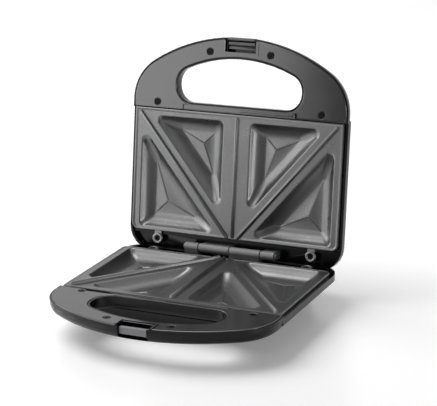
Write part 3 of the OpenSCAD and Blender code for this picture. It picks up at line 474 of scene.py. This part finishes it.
def dress(node, material, bevel):
    """A copy of a CAD node with its flat faces joined up and its edges rounded, in its place."""
    source = frame["nodes"][node]
    body = source["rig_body"]
    work = bmesh.new()
    work.from_mesh(source.data)
    bmesh.ops.remove_doubles(work, verts=work.verts, dist=MERGE)
    bmesh.ops.dissolve_limit(work, angle_limit=math.radians(FLAT_ANGLE), verts=work.verts,
                             edges=work.edges)
    if node in ("base_shell", "lid_shell"):
        round_grip(work, body)
    bmesh.ops.recalc_face_normals(work, faces=work.faces)
    mesh = bpy.data.meshes.new(node + "_form")
    work.to_mesh(mesh)
    work.free()
    mesh.polygons.foreach_set("use_smooth", [True] * len(mesh.polygons))
    mesh.set_sharp_from_angle(angle=math.radians(EDGE_ANGLE))
    mesh.materials.clear()
    mesh.materials.append(material)
    made = bpy.data.objects.new(node + "_form", mesh)
    bpy.context.scene.collection.objects.link(made)
    if bevel:
        rounding = made.modifiers.new("edges", "BEVEL")
        rounding.width = bevel * MM
        rounding.segments = EDGE_STEPS
        rounding.limit_method = "ANGLE"
        rounding.angle_limit = math.radians(EDGE_ANGLE)
        rounding.harden_normals = True
    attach(made, body)
    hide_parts(node)


# Outlines of a half

def front_outline():
    """Front of the cover from one shoulder to the other, without its notch."""
    right = arc(corner_x, corner_s, CORNER_R - COVER_IN, 0, corner_turn, 16)
    top = arc(0, front_s, FRONT_R - COVER_IN, corner_turn, 180 - corner_turn, 40)
    left = arc(-corner_x, corner_s, CORNER_R - COVER_IN, 180 - corner_turn, 180, 16)
    return right + top[1:-1] + left


def cover_outline():
    """Outline of the handle cover, with the latch notch cut into its front."""
    near = shoulder_s + COVER_GAP
    edge = [p for p in front_outline() if p[1] > near]
    right = [p for p in edge if p[0] > NOTCH_HALF]
    left = [p for p in edge if p[0] < -NOTCH_HALF]
    lip = front_s + math.sqrt((FRONT_R - COVER_IN) ** 2 - NOTCH_HALF ** 2)
    r = NOTCH_CORNER_R
    notch = [(NOTCH_HALF, lip)]
    notch += arc(NOTCH_HALF - r, notch_back + r, r, 0, -90, 4)
    notch += arc(r - NOTCH_HALF, notch_back + r, r, -90, -180, 4)
    notch += [(-NOTCH_HALF, lip)]
    side = HALF_WIDTH - COVER_IN
    return loop_clean([(side, near)] + right + notch + left + [(-side, near)])


def grip_outline():
    """Outline of the cover's opening for the grip, a little wider than the shell's."""
    top_s = REACH - FAR_BAR - GRIP_TOP_R
    x = GRIP_HALF - GRIP_CORNER_R
    high = top_s + math.sqrt((GRIP_TOP_R - GRIP_CORNER_R) ** 2 - x ** 2)
    low = shoulder_s + NEAR_BAR + GRIP_CORNER_R
    turn = math.degrees(math.atan2(high - top_s, x))
    r = GRIP_CORNER_R + COVER_IN
    loop = arc(x, low, r, -90, 0, 10) + arc(x, high, r, 0, turn, 10)
    loop += arc(0, top_s, GRIP_TOP_R + COVER_IN, turn, 180 - turn, 30)
    loop += arc(-x, high, r, 180 - turn, 180, 10) + arc(-x, low, r, 180, 270, 10)
    return loop_clean(loop)


def box_loop(x0, x1, s0, s1, r):
    """A rectangle with rounded corners."""
    loop = arc(x1 - r, s0 + r, r, -90, 0, 4) + arc(x1 - r, s1 - r, r, 0, 90, 4)
    loop += arc(x0 + r, s1 - r, r, 90, 180, 4) + arc(x0 + r, s0 + r, r, 180, 270, 4)
    return loop_clean(loop)


def screw_places():
    """Middles of the four screws in a handle cover."""
    points = [(SCREW_X, REACH - SCREW_FRONT_IN),
              (HALF_WIDTH - SCREW_SIDE_IN, shoulder_s + SCREW_NEAR)]
    return points + [(-x, s) for x, s in points]


def handle_cover(half):
    """The cover of a handle: grip opening, latch notch with its rim, screws, and the channel."""
    sketch = Sketch()
    near = shoulder_s + COVER_GAP + CHANNEL_NEAR
    far = near + CHANNEL_W
    wells = [(circle_loop(x, s, SCREW_POCKET_R), SCREW_POCKET_DEPTH, SCREW_POCKET_EDGE)
             for x, s in screw_places()]
    channel = box_loop(-CHANNEL_HALF, CHANNEL_HALF, near, far, CHANNEL_CORNER_R)
    wells.append((channel, CHANNEL_DEPTH, CHANNEL_EDGE))
    sketch.slab(cover_outline(), FACE_Z - COVER_T, FACE_Z, COVER_BEVEL, [grip_outline()], wells)
    strip = box_loop(-CHANNEL_HALF + STRIP_END, -STRIP_MIDDLE, near + STRIP_NEAR, far - STRIP_FAR,
                     STRIP_CORNER_R)
    sketch.slab(strip, FACE_Z - CHANNEL_DEPTH - STRIP_ROOT, FACE_Z - STRIP_DROP, STRIP_EDGE)
    wide, back = NOTCH_HALF + NOTCH_RIM, notch_back - NOTCH_RIM
    rim_r = FRONT_R - COVER_IN - COVER_BEVEL
    lip = front_s + math.sqrt(rim_r ** 2 - wide ** 2) - NOTCH_RIM_BACK
    rim = [(wide, lip), (wide, back), (-wide, back), (-wide, lip), (-NOTCH_HALF, lip),
           (-NOTCH_HALF, notch_back), (NOTCH_HALF, notch_back), (NOTCH_HALF, lip)]
    sketch.slab(rim, FACE_Z - NOTCH_RIM_ROOT, FACE_Z + NOTCH_RIM_H, NOTCH_RIM_EDGE)
    sketch.piece(f"{half}_cover_face", half, cover_black, [f"{half}_handle_cover"])


# The cooking plate

def plate_outline(inset):
    """Outline of the plate, drawn in by the inset, with rounded corners at the hinge."""
    x, s, r = plate_half - PLATE_CORNER_R, PLATE_REAR + PLATE_CORNER_R, PLATE_CORNER_R - inset
    side, front = plate_half - inset, plate_front - inset
    return arc(-x, s, r, 180, 270, 8) + arc(x, s, r, 270, 360, 8) + [(side, front), (-side, front)]


def incentre(corners):
    """Middle and radius of the circle that fits in a triangle."""
    a, b, c = (np.array(p) for p in corners)
    sides = [np.linalg.norm(b - c), np.linalg.norm(c - a), np.linalg.norm(a - b)]
    middle = (sides[0] * a + sides[1] * b + sides[2] * c) / sum(sides)
    area = abs((b - a)[0] * (c - a)[1] - (b - a)[1] * (c - a)[0])
    return middle, area / sum(sides)


def triangle_ring(corners, inset, r):
    """The triangle drawn in by the inset with its corners rounded, anticlockwise."""
    steps = 10
    middle, inradius = incentre(corners)
    keep = (inradius - inset - r) / inradius
    loop = []
    for i in range(3):
        before, here, after = (np.array(corners[k % 3]) for k in (i - 1, i, i + 1))
        centre = middle + keep * (here - middle)
        start = math.degrees(math.atan2(-(here - before)[0], (here - before)[1]))
        end = math.degrees(math.atan2(-(after - here)[0], (after - here)[1]))
        while end < start:
            end += 360
        while end - start > 360:
            end -= 360
        loop += arc(centre[0], centre[1], r, start, end, steps)
    return loop


def wall_depth(inset):
    """Depth of a pocket's wall at an inset from its lip: a round lip, then ever less steep."""
    def eased(place):
        return LIP_W / 2 + EASE_W * (1 - math.exp((LIP_W - place) / EASE_W))

    slope = POCKET_DEPTH / eased(SLOPE_W)
    if inset < LIP_W:
        return slope * inset ** 2 / (2 * LIP_W)
    return slope * eased(inset)


slant_out = (plate_half - RIDGE_END_X_IN, plate_front - RIDGE_END_S_IN)
slant_in = (RIDGE_START_X, PLATE_REAR + RIDGE_START_IN)
slant_rise = (slant_out[1] - slant_in[1]) / (slant_out[0] - slant_in[0])
slant_off = LAND_SLANT * math.hypot(1, slant_rise)


def slant_s(x, side):
    """Where the land beside a slanting ridge ends: s at an x, on one side or the other."""
    return slant_in[1] + (x - slant_in[0]) * slant_rise + side * slant_off


def slant_x(s, side):
    """Where the land beside a slanting ridge ends: x at an s, on one side or the other."""
    return slant_in[0] + (s - slant_in[1] - side * slant_off) / slant_rise


def pocket_corners():
    """Corners of the four pockets at the land, anticlockwise."""
    x, near = plate_half - LAND_EDGE, PLATE_REAR + LAND_REAR
    far = plate_front - LAND_FRONT
    outer = [(x, near), (x, slant_s(x, -1)), (slant_x(near, -1), near)]
    inner = [(LAND_MID, far), (LAND_MID, slant_s(LAND_MID, 1)), (slant_x(far, 1), far)]
    mirrored = [[(-px, ps) for px, ps in corners[::-1]] for corners in (outer, inner)]
    return [outer, inner] + mirrored


def pocket(sketch, corners, drop=0.0):
    """Walls and pyramid of one pocket; its lip ring is returned for the land's hole."""
    rings = []
    for inset in WALL_INSETS:
        share = max(0.0, (inset - SLOPE_END) / (SLOPE_W - SLOPE_END)) ** 2
        r = POCKET_CORNER_R + (FOOT_CORNER_R - POCKET_CORNER_R) * share
        loop = triangle_ring(corners, inset, r)
        rings.append(sketch.ring(loop, LAND_Z - drop - wall_depth(inset)))
    foot, floor_z = rings[-1], LAND_Z - drop - POCKET_DEPTH
    middle, inradius = incentre(corners)
    for share in PYRAMID_SHARES:
        inset = SLOPE_W + share * (inradius - SLOPE_W)
        loop = triangle_ring(corners, inset, FOOT_CORNER_R * (1 - share))
        rings.append(sketch.ring(loop, floor_z + pyramid_rise(share)))
    for upper, lower in zip(rings, rings[1:]):
        sketch.band(upper, lower)
    sketch.fan(rings[-1], (middle[0], middle[1], floor_z + PYRAMID_H))
    if not drop:
        turn = len(foot) // 3
        for k in range(3):
            crease(sketch, middle, sketch.points[foot[k * turn + turn // 2]][:2])
    return rings[0]


def pyramid_rise(share):
    """Height of a pyramid on the way from foot to tip: level at first, then an even slope."""
    whole = 1 - PYRAMID_EASE / 2
    if share < PYRAMID_EASE:
        return PYRAMID_H * share ** 2 / (2 * PYRAMID_EASE) / whole
    return PYRAMID_H * (share - PYRAMID_EASE / 2) / whole


def crease(sketch, start, end):
    """A fine raised line from a pyramid's tip toward a corner, dying away at its end."""
    along = np.array(end) - np.array(start)
    side = np.array([-along[1], along[0]]) / np.linalg.norm(along) * CREASE_HALF
    rings = []
    for share, height in CREASE_RUN:
        floor_z = LAND_Z - POCKET_DEPTH + pyramid_rise(1 - min(max(share, 0.0), 1.0))
        foot = floor_z - CREASE_SINK
        first = len(sketch.points)
        for across, lift in CREASE_SECTION:
            x, s = np.array(start) + along * share + side * across
            sketch.points.append((x, s, foot + CREASE_H * height * lift))
        rings.append(list(range(first, len(sketch.points))))
    for near, far in zip(rings, rings[1:]):
        for i in range(len(CREASE_SECTION) - 1):
            sketch.face((near[i], near[i + 1], far[i + 1], far[i]))


def ridge(sketch, start, end):
    """A low wall with a rounded top and footed sides, drawn from end to end."""
    profile = list(RIDGE_SIDE) + [(-x, z) for x, z in RIDGE_SIDE[::-1]]
    along = np.array(end) - np.array(start)
    along /= np.linalg.norm(along)
    side = np.array([-along[1], along[0]])
    rings = []
    run = [(start, back, share) for back, share in RIDGE_TIP]
    run += [(end, -back, share) for back, share in RIDGE_TIP[::-1]]
    for place, back, share in run:
        first = len(sketch.points)
        origin = np.array(place) + along * back
        for across, height in profile:
            x, s = origin + side * across
            sketch.points.append((x, s, LAND_Z + height * (share if height > 0 else 1)))
        rings.append(list(range(first, len(sketch.points))))
    for near, far in zip(rings, rings[1:]):
        sketch.band(near, far)
    sketch.face(rings[0][::-1], True)
    sketch.face(rings[-1], True)


def ear(sketch, side):
    """A screw ear: a ring, and the thinner neck that carries it."""
    x, low = side * EAR_X, EAR_Z - EAR_T
    hole = circle_loop(x, EAR_S, EAR_HOLE_R)
    sketch.slab(circle_loop(x, EAR_S, EAR_R), low, EAR_Z, EAR_EDGE, [hole])
    neck = box_loop(x - NECK_HALF, x + NECK_HALF, EAR_S + EAR_HOLE_R + NECK_START,
                    PLATE_REAR + NECK_IN, NECK_EDGE)
    sketch.slab(neck, low + NECK_LIFT, low + NECK_T, NECK_EDGE)


def cooking_plate(half):
    """A cast plate with a skirt, a bead round its edge, four pockets, ridges and screw ears."""
    sketch = Sketch()
    rings = [sketch.ring(plate_outline(inset), LAND_Z + rise) for inset, rise in PLATE_RIM]
    for lower, upper in zip(rings, rings[1:]):
        sketch.band(lower, upper)
    sketch.cap(rings[-1], *[pocket(sketch, corners) for corners in pocket_corners()])
    inner = sketch.ring(plate_outline(SKIRT_W), LAND_Z - PLATE_T)
    sketch.band(rings[0], inner)
    sketch.cap(inner, *[pocket(sketch, corners, PLATE_T) for corners in pocket_corners()])
    for side in (1, -1):
        ridge(sketch, (side * slant_in[0], slant_in[1]), (side * slant_out[0], slant_out[1]))
    ridge(sketch, (0, PLATE_REAR + LAND_REAR / 2), (0, plate_front - LAND_FRONT / 2))
    sketch.piece(f"{half}_plate_face", half, plate_coat, [f"{half}_plate"])
    ears = Sketch()
    for side in (1, -1):
        ear(ears, side)
    ears.piece(f"{half}_plate_ears", half, ear_metal)


# Everything else keeps its CAD form, with rounded edges

def dress_all():
    """Dresses the nodes that keep their form: which ones, their material, and their rounding."""
    feet = [f"foot_{end}_{side}" for end in ("front", "rear") for side in ("left", "right")]
    sheet = [f"{half}_{what}" for what in ("reflector", "element_clips") for half in HALVES]
    finishes = [
        (["base_shell", "lid_shell"], shell_black, 0.45),
        (["base_hinge_leaf", "lid_hinge_leaf", "hinge_pin"], hinge_metal, 0.3),
        (["latch_pin"], hinge_metal, 0.15),
        (["catch_bar"], grey_plastic, 0.4),
        (["latch"], latch_black, 0.4),
        (feet, rubber, 0.3),
        (sheet, bright_metal, 0.1),
        (["base_element", "lid_element"], bright_metal, 0.2),
        (["thermostat", "thermal_fuse"], bright_metal, 0.2),
        (["terminal_block", "lamp_holder"], ceramic, 0.2),
        (["base_leads", "lid_leads"], sleeve, 0.0),
        (["power_lens"], red_lens, 0.2),
        (["ready_lens"], green_lens, 0.2),
        (["power_lamp", "ready_lamp"], lamp_glass, 0.2),
        ([n for n in frame["nodes"] if n.endswith("_screws")], screw_metal, 0.15),
    ]
    for nodes, material, bevel in finishes:
        for node in nodes:
            dress(node, material, bevel)


# Stage, lights and camera

def seen_by(tree):
    """One for the rays that see the background: camera, glossy and transmission rays."""
    path = tree.nodes.new("ShaderNodeLightPath")
    result = path.outputs["Is Camera Ray"]
    for ray in ("Is Glossy Ray", "Is Transmission Ray"):
        larger = tree.nodes.new("ShaderNodeMath")
        larger.operation = "MAXIMUM"
        tree.links.new(result, larger.inputs[0])
        tree.links.new(path.outputs[ray], larger.inputs[1])
        result = larger.outputs["Value"]
    return result


def make_stage():
    """A plain pale floor with a little glow of its own where it is the background."""
    bpy.ops.mesh.primitive_plane_add(size=FLOOR_SIZE)
    floor = bpy.context.object
    floor.name = "floor"
    material = new_material("floor_pale", grey(FLOOR_TONE), FLOOR_ROUGHNESS)
    tree = material.node_tree
    shader = tree.nodes["Principled BSDF"]
    socket(shader, "Emission Color", (1.0, 1.0, 1.0, 1.0))
    lift = tree.nodes.new("ShaderNodeMath")
    lift.operation = "MULTIPLY"
    lift.inputs[1].default_value = FLOOR_LIFT
    tree.links.new(seen_by(tree), lift.inputs[0])
    tree.links.new(lift.outputs["Value"], shader.inputs["Emission Strength"])
    floor.data.materials.append(material)


def area_light(name, place, aim, width, height, power):
    """A rectangular light at a place, turned to its aim."""
    data = bpy.data.lights.new(name, "AREA")
    data.shape = "RECTANGLE"
    data.size = width
    data.size_y = height
    data.energy = power
    lamp = bpy.data.objects.new(name, data)
    bpy.context.scene.collection.objects.link(lamp)
    lamp.location = place
    lamp.rotation_mode = "QUATERNION"
    lamp.rotation_quaternion = (Vector(aim) - Vector(place)).to_track_quat("-Z", "Y")
    return lamp


def make_world():
    """White to the camera; in reflections white behind and beside the part, and dim in front."""
    world = bpy.data.worlds.new("studio")
    bpy.context.scene.world = world
    world.use_nodes = True
    tree = world.node_tree
    dim = tree.nodes["Background"]
    mix = tree.nodes.new("ShaderNodeMixShader")
    white = tree.nodes.new("ShaderNodeBackground")
    white.inputs["Color"].default_value = (1, 1, 1, 1)
    dim.inputs["Color"].default_value = (1, 1, 1, 1)
    dim.inputs["Strength"].default_value = WORLD_DIM
    place = tree.nodes.new("ShaderNodeTexCoord")
    split = tree.nodes.new("ShaderNodeSeparateXYZ")
    fade = tree.nodes.new("ShaderNodeMapRange")
    bounds = {"From Min": FADE_START, "From Max": FADE_END, "To Min": FRONT_SHARE, "To Max": 1.0}
    for name, value in bounds.items():
        socket(fade, name, value)
    path = tree.nodes.new("ShaderNodeLightPath")
    strength = tree.nodes.new("ShaderNodeMath")
    strength.operation = "MAXIMUM"
    tree.links.new(place.outputs["Generated"], split.inputs["Vector"])
    tree.links.new(split.outputs["Y"], fade.inputs["Value"])
    tree.links.new(fade.outputs["Result"], strength.inputs[0])
    tree.links.new(path.outputs["Is Camera Ray"], strength.inputs[1])
    tree.links.new(strength.outputs["Value"], white.inputs["Strength"])
    tree.links.new(seen_by(tree), mix.inputs["Fac"])
    tree.links.new(dim.outputs["Background"], mix.inputs[1])
    tree.links.new(white.outputs["Background"], mix.inputs[2])
    tree.links.new(mix.outputs["Shader"], tree.nodes["World Output"].inputs["Surface"])


def make_lights():
    """The soft light for matt surfaces, and the panels that show only in the gloss."""
    for name, place, aim, width, height, power, matt in LIGHTS:
        lamp = area_light(name, place, aim, width, height, power)
        lamp.visible_diffuse, lamp.visible_glossy = matt, not matt


def make_camera():
    """The photograph's camera, from its target, angles and distance."""
    a, e, roll = (math.radians(v) for v in (AZIMUTH, ELEVATION, ROLL))
    back = Vector((math.sin(a) * math.cos(e), -math.cos(a) * math.cos(e), math.sin(e)))
    right = Vector((math.cos(a), math.sin(a), 0))
    up = back.cross(right)
    rolled_right = right * math.cos(roll) + up * math.sin(roll)
    rolled_up = up * math.cos(roll) - right * math.sin(roll)
    data = bpy.data.cameras.new("camera")
    data.sensor_width = SENSOR
    data.lens = FOCAL_PIXELS * SENSOR / IMAGE_WIDTH
    data.clip_start, data.clip_end = CLIP_START, CLIP_END
    camera = bpy.data.objects.new("camera", data)
    bpy.context.scene.collection.objects.link(camera)
    turn = Matrix((rolled_right, rolled_up, back)).transposed()
    place = HINGE + (Vector(TARGET) + back * DISTANCE) * MM
    camera.matrix_world = Matrix.Translation(place) @ turn.to_4x4()
    bpy.context.scene.camera = camera


make_camera()
make_world()
make_lights()
make_stage()
for half in HALVES:
    cooking_plate(half)
    handle_cover(half)
dress_all()

bpy.context.scene.view_settings.view_transform = "Standard"
bpy.context.view_layer.update()
